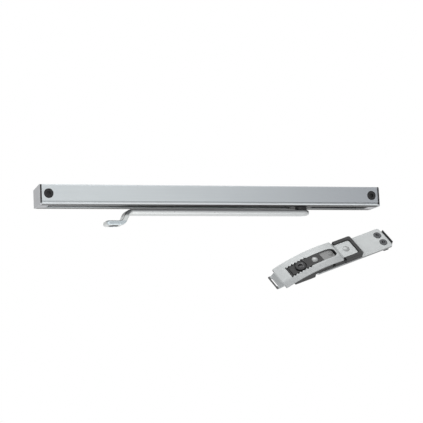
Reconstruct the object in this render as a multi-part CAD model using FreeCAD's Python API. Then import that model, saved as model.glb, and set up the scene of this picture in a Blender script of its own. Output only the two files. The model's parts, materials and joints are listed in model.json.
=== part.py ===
"""Overhead closer guide rail with its cranked arm, and the hold-open unit of its channel."""
import FreeCAD, Part
import math
import os
from FreeCAD import Vector

# ---- Frame: millimetres, +X along the rail, -Y to the room, +Z up -------------------
# The origin is the middle of the rail's back face, which lies on the door frame.

# Guide rail
RAIL_LENGTH = 449.8
RAIL_DEPTH = 34.0
RAIL_HEIGHT = 25.5
TOP_FALL = 2.6
SIDE_WALL = 1.8
TOP_WALL = 2.0
LIP_THICKNESS = 2.2
SLOT_WIDTH = 18.0
FRONT_EDGE_RADIUS = 2.0
SMALL_RADIUS = 0.5
OVERCUT = 1.0
GROOVE_BELOW_TOP = 21.8
GROOVE_WIDTH = 1.6
GROOVE_DEPTH = 1.0
BEAD_TOP_RADIUS = 0.9
BEAD_BOTTOM_RADIUS = 1.5

# Rail ends
FLANGE_THICKNESS = 2.0
PLATE_THICKNESS = 0.6
PLATE_CORNER = 1.5
SPIGOT_LENGTH = 20.0
SPIGOT_CLEARANCE = 0.2
FOOT_LENGTH = 12.4

# Fixing screws
SCREW_FROM_END = 11.2
SCREW_BELOW_TOP = 11.6
SCREW_HEAD_DIA = 11.5
SCREW_HEAD_HEIGHT = 3.0
SCREW_HEAD_SINK = 0.2
SCREW_HEAD_EDGE = 0.6
SCREW_SHANK_DIA = 5.4
SCREW_THREAD_DIA = 5.0
SCREW_THREAD_START = 0.4
SCREW_HOLE_CLEARANCE = 0.2
SCREW_REACH = 22.0
SCREW_TIP = 1.5
HEX_SOCKET = 5.0
HEX_DEPTH = 2.0

# Slider
SLIDER_REST_X = 121.0
SLIDER_LENGTH = 30.0
SLIDER_HEIGHT = 9.0
SLIDER_SIDE_CLEARANCE = 0.6
SLIDER_LIP_CLEARANCE = 0.15
SLIDER_CHAMFER = 1.0
NECK_LENGTH = 28.0
NECK_CLEARANCE = 0.4
NECK_DEPTH = 1.7
COLLAR_DIA = 15.0
SLIDER_POCKET_LENGTH = 5.0
SLIDER_POCKET_WIDTH = 20.0
SLIDER_POCKET_DEPTH = 4.0

# Pivot pin and its bush
PIN_DIA = 8.0
PIN_HEAD_DIA = 13.0
PIN_HEAD_HEIGHT = 3.0
PIN_TAIL_DIA = 12.4
PIN_TAIL_HEIGHT = 1.5
PIN_EDGE = 0.4
RUNNING_CLEARANCE = 0.05
FREE_CLEARANCE = 0.4
AXIAL_CLEARANCE = 0.3
BUSH_WALL = 1.0
BUSH_FLANGE_DIA = 15.0
BUSH_FLANGE_HEIGHT = 1.0

# Arm
ARM_CENTRES = 250.5
ARM_WIDTH = 20.5
ARM_THICKNESS = 6.0
ARM_EDGE_RADIUS = 2.4
ARM_BELOW_RAIL = 3.8
ARM_DROP = 14.0
BEND_ANGLE = 63.0
BEND_RADIUS = 7.0
BEND_TO_SOCKET = 6.8
SOCKET_TO_END = 11.2
ARM_END_CORNER = 5.0
SOCKET_DIA = 13.0

# Hold-open unit: x along it, y across it, z out of its face, from its left shoulder
UNIT_WIDTH = 30.2
UNIT_PLACE = (70.1, -242.1, -103.4)
UNIT_MIDDLE = 79.9
UNIT_TURN = 7.8
UNIT_RISE = 18.3
UNIT_TILT = 51.8

# Arched detent leaf
LEAF_THICKNESS = 1.4
LEAF_BEND_RADIUS = 4.5
ARCH_RADIUS = 165.0
ARCH_TOP_X = 62.1
ARCH_TOP_Z = 8.65
ARCH_END_X = 76.6
TONGUE_START_X = 80.8
TONGUE_TOP_Z = 5.15
TONGUE_GAP = 0.5
TONGUE_CORNER = 2.2
NECK_RUN = 4.6
NECK_SLOPE = 35.0
NECK_ROOT_HALF_WIDTH = 11.0
HOOK_RUN = 4.2
HOOK_HALF_WIDTH = 9.6
HOOK_BAR_WIDTH = 1.4
LEAF_CORNER = 1.0
NECK_CORNER = 2.0
WINDOW_HALF_WIDTH = 6.4
WINDOW_LENGTH = 2.4

# Toothed slot of the leaf
SLOT_START_X = 11.5
SLOT_HALF_WIDTH = 8.2
TOOTH_COUNT = 6
TOOTH_PITCH = 4.1
TOOTH_DEPTH = 1.8
TOOTH_START_X = 14.0
PLAIN_SLOT_HALF_WIDTH = 6.5
SLOT_TAPER_X = 69.5
SLOT_END_X = 75.2
SLOT_END_HALF_WIDTH = 4.0
SLOT_END_RADIUS = 2.4
SLOT_TAPER_RADIUS = 6.0
SLOT_CORNER = 1.2

# Carrier block under the leaf
CARRIER_START_X = 12.6
CARRIER_END_X = 62.0
RIDGE_END_X = 55.3
CARRIER_HALF_WIDTH = 14.4
CARRIER_CLEARANCE = 0.1
CARRIER_FOOT_END_X = 40.2
CARRIER_FOOT_Z = -5.4
CARRIER_STEP_Z = 1.4
RIDGE_START_GAP = 2.9
RIDGE_HALF_WIDTH = 5.9
RIDGE_SINK = 0.3

# Adjusting screw, nut and rivet of the carrier
ADJUSTER_X = 27.0
ADJUSTER_HEAD_DIA = 11.8
ADJUSTER_HEAD_HEIGHT = 2.6
ADJUSTER_SEAT_SINK = 1.4
ADJUSTER_RECESS_DIA = 14.8
ADJUSTER_SHANK_DIA = 5.0
ADJUSTER_BORE_CLEARANCE = 0.1
ADJUSTER_SOCKET = 5.0
ADJUSTER_SOCKET_DEPTH = 1.8
NUT_SIZE = 8.0
NUT_THICKNESS = 2.4
NUT_POCKET_DEPTH = 2.7
CARRIER_RIVET_X = 46.4
CARRIER_RIVET_HEAD_DIA = 7.4
RIVET_HEAD_HEIGHT = 1.1
RIVET_SEAT_SINK = 0.2
RIVET_SHANK_DIA = 4.0

# Spring strip with a pressed dome, held in the carrier
SPRING_START_X = 41.0
SPRING_END_X = 72.6
SPRING_HALF_WIDTH = 5.7
SPRING_FREE_HALF_WIDTH = 6.5
SPRING_THICKNESS = 1.0
SPRING_TIP_RADIUS = 3.5
SPRING_BELOW_LEAF = 0.35
SPRING_POCKET_CLEARANCE = 0.1
DOME_X = 68.7
DOME_DIA = 6.6
DOME_HEIGHT = 1.1

# Stop buffer
BUFFER_START_X = 66.6
BUFFER_STEP_X = 75.4
BUFFER_WALL_X = 81.6
BUFFER_END_X = 106.5
BUFFER_SLAB_HALF_WIDTH = 14.0
BUFFER_SLAB_Z = 6.2
BUFFER_SEAT_Z = 3.45
BUFFER_TOP_Z = 6.4
BUFFER_WALL = 4.3
BUFFER_NOTCH_X = 79.4
BUFFER_NOTCH_HALF_WIDTH = 7.0
BUFFER_NOTCH_Z = 2.0
BUFFER_OUTER_RADIUS = 2.6
BUFFER_INNER_RADIUS = 2.0

# Base plate and its clamp
BASE_START_X = 41.6
BASE_END_X = 150.2
BASE_THICKNESS = 2.2
BASE_CORNER = 2.5
BASE_LIP_RUN = 2.2
BASE_LIP_DROP = 4.6
BASE_LIP_HALF_WIDTH = 9.9
TONGUE_RIVET_X = 91.4
TONGUE_RIVET_HEAD_DIA = 8.2
TONGUE_RIVET_GAP = 0.15
END_PAD_THICKNESS = 1.2
END_PAD_HALF_WIDTH = 10.2
END_PAD_PROUD = 0.7
CLAMP_LENGTH = 13.0
CLAMP_EAR_LENGTH = 6.0
CLAMP_SHOULDER_HALF_WIDTH = 10.8
CLAMP_HALF_WIDTH = 14.2
CLAMP_HEIGHT = 3.5
CLAMP_CORNER = 1.5
CLAMP_SCREW_X = 142.6
CLAMP_SCREW_HALF_SPACING = 6.0
CLAMP_SCREW_DIA = 9.5
CLAMP_SCREW_PROUD = 0.5
CLAMP_SCREW_REACH = 1.4
CLAMP_SOCKET = 4.0
CLAMP_SOCKET_DEPTH = 3.0

# ---- Places worked out from the sizes above -----------------------------------------
TOP_Z = RAIL_HEIGHT / 2
BOTTOM_Z = -TOP_Z
FRONT_Y = -RAIL_DEPTH
AXIS_Y = FRONT_Y / 2
LIP_TOP_Z = BOTTOM_Z + LIP_THICKNESS
GROOVE_Z = TOP_Z - GROOVE_BELOW_TOP
END_X = RAIL_LENGTH / 2
SCREW_X = END_X - SCREW_FROM_END
PROFILE_END_X = END_X - FLANGE_THICKNESS - PLATE_THICKNESS
SCREW_Z = TOP_Z - SCREW_BELOW_TOP
SEAT_Y = FRONT_Y + SCREW_HEAD_SINK + SCREW_HEAD_HEIGHT
FOOT_TOP_Z = LIP_TOP_Z + SPIGOT_CLEARANCE / 2
SLIDER_FLOOR_Z = LIP_TOP_Z + SLIDER_LIP_CLEARANCE
ARM_TOP_Z = BOTTOM_Z - ARM_BELOW_RAIL
ARM_BOTTOM_Z = ARM_TOP_Z - ARM_THICKNESS
COLLAR_BOTTOM_Z = ARM_TOP_Z + BUSH_FLANGE_HEIGHT + AXIAL_CLEARANCE
SOCKET_X = SLIDER_REST_X - ARM_CENTRES
BOSS_TOP_Z = ARM_TOP_Z - ARM_DROP
BOSS_BOTTOM_Z = BOSS_TOP_Z - ARM_THICKNESS
ARCH_CENTRE = Vector(ARCH_TOP_X, 0, ARCH_TOP_Z - ARCH_RADIUS)
LEAF_INNER_RADIUS = ARCH_RADIUS - LEAF_THICKNESS
CARRIER_RADIUS = LEAF_INNER_RADIUS - CARRIER_CLEARANCE
RIDGE_RADIUS = ARCH_RADIUS - RIDGE_SINK
ADJUSTER_SEAT_RADIUS = RIDGE_RADIUS - ADJUSTER_SEAT_SINK
RIVET_SEAT_RADIUS = RIDGE_RADIUS - RIVET_SEAT_SINK
SPRING_RADIUS = LEAF_INNER_RADIUS - SPRING_BELOW_LEAF
UNIT_HALF_WIDTH = UNIT_WIDTH / 2
BUFFER_INNER_HALF_WIDTH = UNIT_HALF_WIDTH - BUFFER_WALL
TONGUE_HALF_WIDTH = BUFFER_INNER_HALF_WIDTH - TONGUE_GAP
TONGUE_END_X = BUFFER_END_X - BUFFER_WALL - TONGUE_GAP
BASE_LIP_X = BASE_END_X + BASE_LIP_RUN
HOOK_END_X = -NECK_RUN - HOOK_RUN


# ---- Shape helpers ------------------------------------------------------------------
def on_plane(plane, a, b):
    """Point (a, b) of the plane 'xy', 'yz' or 'xz'."""
    if plane == "xy":
        return Vector(a, b, 0)
    if plane == "yz":
        return Vector(0, a, b)
    return Vector(a, 0, b)


def rounded_face(plane, corners):
    """Face with corners (a, b) or (a, b, radius) in order round it."""
    points = [on_plane(plane, corner[0], corner[1]) for corner in corners]
    radii = [corner[2] if len(corner) > 2 else 0.0 for corner in corners]
    edges = []
    starts = []
    ends = []
    middles = []
    for index, point in enumerate(points):
        before = (points[index - 1] - point).normalize()
        after = (points[(index + 1) % len(points)] - point).normalize()
        half = before.getAngle(after) / 2
        reach = radii[index] / math.tan(half)
        starts.append(point + before * reach)
        ends.append(point + after * reach)
        bisector = (before + after).normalize() if radii[index] else before
        middles.append(point + bisector * (radii[index] / math.sin(half) - radii[index]))
    for index in range(len(points)):
        if radii[index]:
            edges.append(Part.Arc(starts[index], middles[index], ends[index]).toShape())
        following = starts[(index + 1) % len(points)]
        if ends[index].distanceToPoint(following) > 1e-6:
            edges.append(Part.LineSegment(ends[index], following).toShape())
    return Part.Face(Part.Wire(edges))


def prism(plane, corners, low, high):
    """The rounded outline, drawn out along the axis square to its plane."""
    axis = {"xy": Vector(0, 0, 1), "yz": Vector(1, 0, 0), "xz": Vector(0, 1, 0)}[plane]
    face = rounded_face(plane, corners)
    face.translate(axis * low)
    return face.extrude(axis * (high - low))


def block(x_range, y_range, z_range):
    """Box between three pairs of limits."""
    size = [limits[1] - limits[0] for limits in (x_range, y_range, z_range)]
    return Part.makeBox(size[0], size[1], size[2], Vector(x_range[0], y_range[0], z_range[0]))


def rod(diameter, start, axis, length):
    """Round bar from the point start, along the unit vector axis."""
    return Part.makeCylinder(diameter / 2, length, start, axis)


def turned(outline, centre):
    """Solid turned about the vertical line through centre, from (radius, height) corners."""
    face = rounded_face("xz", outline)
    face.translate(centre)
    return face.revolve(centre, Vector(0, 0, 1), 360)


def hexagon(across_flats, base, depth):
    """Hexagonal prism that rises from base."""
    radius = across_flats / math.sqrt(3)
    corners = []
    for step in range(6):
        angle = math.radians(60 * step)
        corners.append((base.x + radius * math.cos(angle), base.y + radius * math.sin(angle)))
    return prism("xy", corners, base.z, base.z + depth)


def mirrored(upper):
    """Closed outline from the corners of its half with y above 0."""
    lower = [(corner[0], -corner[1]) + tuple(corner[2:]) for corner in reversed(upper)]
    return upper + lower


def at_end(shape, side):
    """The piece of the right end, or its mirror image for the left one."""
    if side > 0:
        return shape
    return shape.mirror(Vector(0, 0, 0), Vector(1, 0, 0))


# ---- Guide rail ---------------------------------------------------------------------
def roof_z(y, below):
    """Height of the sloping top face at depth y, less a distance below it."""
    return TOP_Z - TOP_FALL * (y - FRONT_Y) / RAIL_DEPTH - below


def outer_outline(bottom, corner):
    """Rail section (y, z) without its groove, down to a bottom with rounded corners."""
    return [
        (FRONT_Y, TOP_Z, FRONT_EDGE_RADIUS),
        (0, roof_z(0, 0), SMALL_RADIUS),
        (0, bottom, corner),
        (FRONT_Y, bottom, corner),
    ]


def rail_outline():
    """Rail section (y, z) with the groove over its rounded lower bead."""
    groove_top = GROOVE_Z + GROOVE_WIDTH / 2
    groove_bottom = GROOVE_Z - GROOVE_WIDTH / 2
    outline = outer_outline(BOTTOM_Z, SMALL_RADIUS)[:-1]
    return outline + [
        (FRONT_Y, BOTTOM_Z, BEAD_BOTTOM_RADIUS),
        (FRONT_Y, groove_bottom, BEAD_TOP_RADIUS),
        (FRONT_Y + GROOVE_DEPTH, groove_bottom),
        (FRONT_Y + GROOVE_DEPTH, groove_top),
        (FRONT_Y, groove_top),
    ]


def channel_outline(clearance):
    """Section (y, z) of the hollow, less a clearance all round."""
    front = FRONT_Y + SIDE_WALL + clearance
    back = -SIDE_WALL - clearance
    return [
        (front, roof_z(front, TOP_WALL + clearance), SMALL_RADIUS),
        (back, roof_z(back, TOP_WALL + clearance), SMALL_RADIUS),
        (back, LIP_TOP_Z + clearance, SMALL_RADIUS),
        (front, LIP_TOP_Z + clearance, SMALL_RADIUS),
    ]


def slot_range(clearance):
    """Limits in y of the slot between the lips, less a clearance each side."""
    half = SLOT_WIDTH / 2 - clearance
    return (AXIS_Y - half, AXIS_Y + half)


def make_rail():
    body = prism("yz", rail_outline(), -PROFILE_END_X, PROFILE_END_X)
    hollow = prism("yz", channel_outline(0), -END_X, END_X)
    slot = block((-END_X, END_X), slot_range(0), (BOTTOM_Z - OVERCUT, LIP_TOP_Z + OVERCUT))
    cutters = [hollow, slot]
    for side in (-1, 1):
        centre = Vector(side * SCREW_X, FRONT_Y - OVERCUT, SCREW_Z)
        head_hole = SCREW_HEAD_DIA + 2 * SCREW_HOLE_CLEARANCE
        cutters.append(rod(head_hole, centre, Vector(0, 1, 0), SIDE_WALL + 2 * OVERCUT))
        cutters.append(rod(SCREW_SHANK_DIA + 2 * SCREW_HOLE_CLEARANCE, centre, Vector(0, 1, 0),
                           RAIL_DEPTH + 2 * OVERCUT))
    return body.cut(cutters)


def make_end_insert(side):
    """Black flange between rail and end plate, with the spigot that fills the hollow."""
    flange = prism("yz", outer_outline(FOOT_TOP_Z, SMALL_RADIUS),
                   PROFILE_END_X, PROFILE_END_X + FLANGE_THICKNESS)
    spigot = prism("yz", channel_outline(SPIGOT_CLEARANCE), PROFILE_END_X - SPIGOT_LENGTH, PROFILE_END_X)
    centre = Vector(SCREW_X, FRONT_Y, SCREW_Z)
    shank_hole = rod(SCREW_SHANK_DIA + 2 * SCREW_HOLE_CLEARANCE, centre, Vector(0, 1, 0), RAIL_DEPTH)
    head_hole = rod(SCREW_HEAD_DIA + 2 * SCREW_HOLE_CLEARANCE, centre, Vector(0, 1, 0), SEAT_Y - FRONT_Y)
    return at_end(flange.fuse(spigot).cut([shank_hole, head_hole]), side)


def make_end_plate(side):
    """Silver cover of the rail's end, with the foot that closes the slot."""
    outline = outer_outline(BOTTOM_Z, PLATE_CORNER)
    plate = prism("yz", outline, END_X - PLATE_THICKNESS, END_X)
    sill = prism("yz", outline, PROFILE_END_X, END_X - PLATE_THICKNESS)
    sill = sill.common(block((0, END_X), (FRONT_Y, 0), (BOTTOM_Z, FOOT_TOP_Z)))
    foot = block((END_X - FOOT_LENGTH, PROFILE_END_X), slot_range(SPIGOT_CLEARANCE),
                 (BOTTOM_Z, FOOT_TOP_Z))
    return at_end(plate.fuse([sill, foot]).removeSplitter(), side)


def make_fixing_screw(side):
    """Socket screw along y, its free end behind the rail."""
    length = SCREW_REACH - SEAT_Y
    radius = SCREW_THREAD_DIA / 2
    shank_radius = SCREW_SHANK_DIA / 2
    head_radius = SCREW_HEAD_DIA / 2
    outline = [
        (0, 0),
        (radius - SCREW_TIP / 2, 0),
        (radius, SCREW_TIP),
        (radius, SCREW_REACH - SCREW_THREAD_START),
        (shank_radius, SCREW_REACH - SCREW_THREAD_START),
        (shank_radius, length),
        (head_radius, length, SCREW_HEAD_EDGE / 2),
        (head_radius, length + SCREW_HEAD_HEIGHT, SCREW_HEAD_EDGE),
        (0, length + SCREW_HEAD_HEIGHT),
    ]
    screw = turned(outline, Vector(0, 0, 0))
    socket_base = Vector(0, 0, length + SCREW_HEAD_HEIGHT - HEX_DEPTH)
    screw = screw.cut(hexagon(HEX_SOCKET, socket_base, HEX_DEPTH + OVERCUT))
    screw.rotate(Vector(0, 0, 0), Vector(1, 0, 0), 90)
    screw.translate(Vector(side * SCREW_X, SCREW_REACH, SCREW_Z))
    return screw


# ---- Slider and arm -----------------------------------------------------------------
def make_slider_block():
    """Plastic slider: guided by the hollow and the slot, with a collar that carries the arm."""
    x_range = (SLIDER_REST_X - SLIDER_LENGTH / 2, SLIDER_REST_X + SLIDER_LENGTH / 2)
    front = FRONT_Y + SIDE_WALL + SLIDER_SIDE_CLEARANCE
    back = -SIDE_WALL - SLIDER_SIDE_CLEARANCE
    ceiling = SLIDER_FLOOR_Z + SLIDER_HEIGHT
    plan = [
        (x_range[0], front, SLIDER_CHAMFER),
        (x_range[1], front, SLIDER_CHAMFER),
        (x_range[1], back, SLIDER_CHAMFER),
        (x_range[0], back, SLIDER_CHAMFER),
    ]
    body = prism("xy", plan, SLIDER_FLOOR_Z, ceiling)
    neck_range = (SLIDER_REST_X - NECK_LENGTH / 2, SLIDER_REST_X + NECK_LENGTH / 2)
    neck = block(neck_range, slot_range(NECK_CLEARANCE), (SLIDER_FLOOR_Z - NECK_DEPTH, SLIDER_FLOOR_Z))
    centre = Vector(SLIDER_REST_X, AXIS_Y, COLLAR_BOTTOM_Z)
    collar = rod(COLLAR_DIA, centre, Vector(0, 0, 1), SLIDER_FLOOR_Z - COLLAR_BOTTOM_Z)
    bore = rod(PIN_DIA, centre, Vector(0, 0, 1), RAIL_HEIGHT)
    head_seat = Vector(SLIDER_REST_X, AXIS_Y, ceiling - PIN_HEAD_HEIGHT)
    head_bore = rod(PIN_HEAD_DIA, head_seat, Vector(0, 0, 1), PIN_HEAD_HEIGHT)
    cutters = [bore, head_bore]
    for side in (-1, 1):
        middle = SLIDER_REST_X + side * (SLIDER_LENGTH - 2 * SLIDER_POCKET_LENGTH) / 2
        cutters.append(block(
            (middle - SLIDER_POCKET_LENGTH / 2, middle + SLIDER_POCKET_LENGTH / 2),
            (AXIS_Y - SLIDER_POCKET_WIDTH / 2, AXIS_Y + SLIDER_POCKET_WIDTH / 2),
            (ceiling - SLIDER_POCKET_DEPTH, ceiling),
        ))
    return body.fuse([neck, collar]).removeSplitter().cut(cutters)


def make_slider_pin():
    """Headed pin pressed into the slider; its riveted tail holds the arm."""
    head_top = SLIDER_FLOOR_Z + SLIDER_HEIGHT
    tail_top = ARM_BOTTOM_Z + PIN_TAIL_HEIGHT
    outline = [
        (0, ARM_BOTTOM_Z),
        (PIN_TAIL_DIA / 2, ARM_BOTTOM_Z, PIN_EDGE),
        (PIN_TAIL_DIA / 2, tail_top),
        (PIN_DIA / 2, tail_top),
        (PIN_DIA / 2, head_top - PIN_HEAD_HEIGHT),
        (PIN_HEAD_DIA / 2, head_top - PIN_HEAD_HEIGHT),
        (PIN_HEAD_DIA / 2, head_top, PIN_EDGE),
        (0, head_top),
    ]
    return turned(outline, Vector(SLIDER_REST_X, AXIS_Y, 0))


def make_arm_bush():
    """Flanged bush of the arm's eye, which turns on the pin."""
    bore = PIN_DIA / 2 + RUNNING_CLEARANCE
    bottom = ARM_BOTTOM_Z + PIN_TAIL_HEIGHT + AXIAL_CLEARANCE
    outline = [
        (bore, bottom),
        (bore + BUSH_WALL, bottom),
        (bore + BUSH_WALL, ARM_TOP_Z),
        (BUSH_FLANGE_DIA / 2, ARM_TOP_Z),
        (BUSH_FLANGE_DIA / 2, ARM_TOP_Z + BUSH_FLANGE_HEIGHT),
        (bore, ARM_TOP_Z + BUSH_FLANGE_HEIGHT),
    ]
    return turned(outline, Vector(SLIDER_REST_X, AXIS_Y, 0))


def arm_path():
    """Centre line of the bar: upper flat, crank and lower flat, and its start."""
    angle = math.radians(BEND_ANGLE)
    rise = BEND_RADIUS * (1 - math.cos(angle))
    run = BEND_RADIUS * math.sin(angle)
    slope_height = ARM_DROP - 2 * rise
    slope_run = slope_height / math.tan(angle)
    upper_z = ARM_TOP_Z - ARM_THICKNESS / 2
    lower_z = upper_z - ARM_DROP
    lower_end = SOCKET_X + BEND_TO_SOCKET
    path_end = SOCKET_X - SOCKET_TO_END + ARM_END_CORNER
    slope_low = Vector(lower_end + run, AXIS_Y, lower_z + rise)
    slope_high = Vector(slope_low.x + slope_run, AXIS_Y, upper_z - rise)
    upper_end = Vector(slope_high.x + run, AXIS_Y, upper_z)
    half_run = BEND_RADIUS * math.sin(angle / 2)
    half_rise = BEND_RADIUS * (1 - math.cos(angle / 2))
    start = Vector(SLIDER_REST_X, AXIS_Y, upper_z)
    edges = [
        Part.LineSegment(start, upper_end),
        Part.Arc(upper_end, Vector(upper_end.x - half_run, AXIS_Y, upper_z - half_rise), slope_high),
        Part.LineSegment(slope_high, slope_low),
        Part.Arc(slope_low, Vector(lower_end + half_run, AXIS_Y, lower_z + half_rise),
                 Vector(lower_end, AXIS_Y, lower_z)),
        Part.LineSegment(Vector(lower_end, AXIS_Y, lower_z), Vector(path_end, AXIS_Y, lower_z)),
    ]
    return Part.Wire([edge.toShape() for edge in edges]), start


def arm_disc(diameter, x, bottom):
    """Round end of the arm with the bar's edge rounding."""
    outline = [
        (0, bottom),
        (diameter / 2, bottom, ARM_EDGE_RADIUS),
        (diameter / 2, bottom + ARM_THICKNESS, ARM_EDGE_RADIUS),
        (0, bottom + ARM_THICKNESS),
    ]
    return turned(outline, Vector(x, AXIS_Y, 0))


def make_arm_end():
    """Squared end of the bar beyond the socket, its corners and edges rounded."""
    end_x = SOCKET_X - SOCKET_TO_END
    reach = ARM_WIDTH / 2 - ARM_END_CORNER
    face = rounded_face("xz", [
        (end_x, BOSS_BOTTOM_Z, ARM_EDGE_RADIUS),
        (end_x, BOSS_TOP_Z, ARM_EDGE_RADIUS),
        (end_x + ARM_END_CORNER, BOSS_TOP_Z),
        (end_x + ARM_END_CORNER, BOSS_BOTTOM_Z),
    ])
    face.translate(Vector(0, AXIS_Y - reach, 0))
    pieces = [face.extrude(Vector(0, 2 * reach, 0))]
    for side in (-1, 1):
        corner = arm_disc(2 * ARM_END_CORNER, end_x + ARM_END_CORNER, BOSS_BOTTOM_Z)
        corner.translate(Vector(0, side * reach, 0))
        pieces.append(corner)
    return pieces


def make_arm_bar():
    """Cranked flat bar with the pivot eye and the spindle socket."""
    path, start = arm_path()
    half_width = ARM_WIDTH / 2
    half_thickness = ARM_THICKNESS / 2
    section = rounded_face("yz", [
        (-half_width, -half_thickness, ARM_EDGE_RADIUS),
        (half_width, -half_thickness, ARM_EDGE_RADIUS),
        (half_width, half_thickness, ARM_EDGE_RADIUS),
        (-half_width, half_thickness, ARM_EDGE_RADIUS),
    ])
    section.translate(start)
    bar = path.makePipeShell([section.OuterWire], True, False)
    eye = arm_disc(ARM_WIDTH, SLIDER_REST_X, ARM_BOTTOM_Z)
    body = bar.fuse([eye, *make_arm_end()]).removeSplitter()
    bush_dia = PIN_DIA + 2 * (RUNNING_CLEARANCE + BUSH_WALL)
    pivot = Vector(SLIDER_REST_X, AXIS_Y, ARM_BOTTOM_Z)
    eye_bore = rod(bush_dia, pivot, Vector(0, 0, 1), ARM_THICKNESS)
    tail_recess = rod(PIN_TAIL_DIA + 2 * FREE_CLEARANCE, pivot, Vector(0, 0, 1),
                      PIN_TAIL_HEIGHT + AXIAL_CLEARANCE)
    socket = rod(SOCKET_DIA, Vector(SOCKET_X, AXIS_Y, BOSS_BOTTOM_Z), Vector(0, 0, 1), ARM_THICKNESS)
    return body.cut([eye_bore, tail_recess, socket])


# ---- Hold-open unit, in its own frame -----------------------------------------------
def arch_z(radius, x):
    """Height of the circle of that radius about the arch's centre, at x."""
    return ARCH_CENTRE.z + math.sqrt(radius ** 2 - (x - ARCH_CENTRE.x) ** 2)


def arch_drum(radius):
    """Round bar across the unit, about the arch's centre."""
    return rod(2 * radius, ARCH_CENTRE - Vector(0, UNIT_WIDTH, 0), Vector(0, 1, 0), 2 * UNIT_WIDTH)


def at_arch(shape, x):
    """Shape built over the arch's top, swung round its centre to stand at x."""
    angle = math.degrees(math.asin((x - ARCH_CENTRE.x) / ARCH_RADIUS))
    shape.rotate(ARCH_CENTRE, Vector(0, 1, 0), angle)
    return shape


def arch_point(radius):
    """Point over the arch's centre, at that radius."""
    return ARCH_CENTRE + Vector(0, 0, radius)


def is_bend(edge, bends):
    """True for an edge that runs across the leaf through one of the bends."""
    middle = edge.CenterOfMass
    return any(Vector(bend.x, 0, bend.z).distanceToPoint(middle) < SMALL_RADIUS for bend in bends)


def leaf_side():
    """Side view of the leaf: hook, sloping neck, arch and flat tongue."""
    slope = math.asin(ARCH_CENTRE.x / ARCH_RADIUS)
    start = Vector(0, 0, arch_z(ARCH_RADIUS, 0))
    under_start = start + Vector(math.sin(slope), 0, -math.cos(slope)) * LEAF_THICKNESS
    neck_angle = math.radians(NECK_SLOPE)
    hook_z = start.z - NECK_RUN * math.tan(neck_angle)
    bend_x = LEAF_THICKNESS * math.tan(neck_angle / 2) - NECK_RUN
    top_end = Vector(ARCH_END_X, 0, arch_z(ARCH_RADIUS, ARCH_END_X))
    end_slope = math.asin((ARCH_END_X - ARCH_CENTRE.x) / ARCH_RADIUS)
    under_end_x = ARCH_END_X - LEAF_THICKNESS * math.sin(end_slope)
    under_end = Vector(under_end_x, 0, arch_z(LEAF_INNER_RADIUS, under_end_x))
    under_z = TONGUE_TOP_Z - LEAF_THICKNESS
    tongue = [
        top_end,
        Vector(TONGUE_START_X, 0, TONGUE_TOP_Z),
        Vector(TONGUE_END_X, 0, TONGUE_TOP_Z),
        Vector(TONGUE_END_X, 0, under_z),
        Vector(TONGUE_START_X - LEAF_THICKNESS / 4, 0, under_z),
        under_end,
    ]
    hook = [
        under_start,
        Vector(bend_x, 0, hook_z - LEAF_THICKNESS),
        Vector(HOOK_END_X, 0, hook_z - LEAF_THICKNESS),
        Vector(HOOK_END_X, 0, hook_z),
        Vector(-NECK_RUN, 0, hook_z),
        start,
    ]
    edges = [Part.Arc(start, arch_point(ARCH_RADIUS), top_end).toShape()]
    edges += Part.makePolygon(tongue).Edges
    edges.append(Part.Arc(under_end, arch_point(LEAF_INNER_RADIUS), under_start).toShape())
    edges += Part.makePolygon(hook).Edges
    face = Part.Face(Part.Wire(edges))
    face.translate(Vector(0, -UNIT_WIDTH, 0))
    strip = face.extrude(Vector(0, 2 * UNIT_WIDTH, 0))
    bends = [top_end, under_end, tongue[1], tongue[4]]
    return strip.makeFillet(LEAF_BEND_RADIUS, [edge for edge in strip.Edges if is_bend(edge, bends)])


def leaf_plan():
    """Outline of the leaf seen from above its face."""
    return mirrored([
        (TONGUE_END_X, TONGUE_HALF_WIDTH, TONGUE_CORNER),
        (TONGUE_START_X, TONGUE_HALF_WIDTH, LEAF_CORNER),
        (ARCH_END_X, UNIT_HALF_WIDTH, LEAF_CORNER),
        (0, UNIT_HALF_WIDTH, LEAF_CORNER),
        (0, NECK_ROOT_HALF_WIDTH, LEAF_CORNER),
        (-NECK_RUN, HOOK_HALF_WIDTH, NECK_CORNER),
        (HOOK_END_X, HOOK_HALF_WIDTH, SMALL_RADIUS),
    ])


def toothed_slot():
    """Slot of the leaf with a row of teeth along each side."""
    upper = [
        (SLOT_END_X, SLOT_END_HALF_WIDTH, SLOT_END_RADIUS),
        (SLOT_TAPER_X, PLAIN_SLOT_HALF_WIDTH, SLOT_TAPER_RADIUS),
    ]
    rack_end = TOOTH_START_X + TOOTH_COUNT * TOOTH_PITCH
    upper.append((rack_end, PLAIN_SLOT_HALF_WIDTH))
    for index in reversed(range(TOOTH_COUNT)):
        root = TOOTH_START_X + index * TOOTH_PITCH
        upper.append((root + TOOTH_PITCH / 2, SLOT_HALF_WIDTH))
        upper.append((root, SLOT_HALF_WIDTH - TOOTH_DEPTH))
    upper.append((TOOTH_START_X - TOOTH_PITCH / 4, SLOT_HALF_WIDTH))
    upper.append((SLOT_START_X, SLOT_HALF_WIDTH, SLOT_CORNER))
    return mirrored(upper)


def make_detent_leaf():
    """Arched spring leaf with hooked neck, toothed slot and riveted tongue."""
    leaf = leaf_side().common(prism("xy", leaf_plan(), -UNIT_WIDTH, UNIT_WIDTH))
    slot = prism("xy", toothed_slot(), -UNIT_WIDTH, UNIT_WIDTH)
    window_x = HOOK_END_X + HOOK_BAR_WIDTH
    window = block((window_x, window_x + WINDOW_LENGTH), (-WINDOW_HALF_WIDTH, WINDOW_HALF_WIDTH),
                   (-UNIT_WIDTH, UNIT_WIDTH))
    rivet_hole = rod(RIVET_SHANK_DIA + 2 * FREE_CLEARANCE, Vector(TONGUE_RIVET_X, 0, 0),
                     Vector(0, 0, 1), UNIT_WIDTH)
    return leaf.cut([slot, window, rivet_hole])


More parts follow.
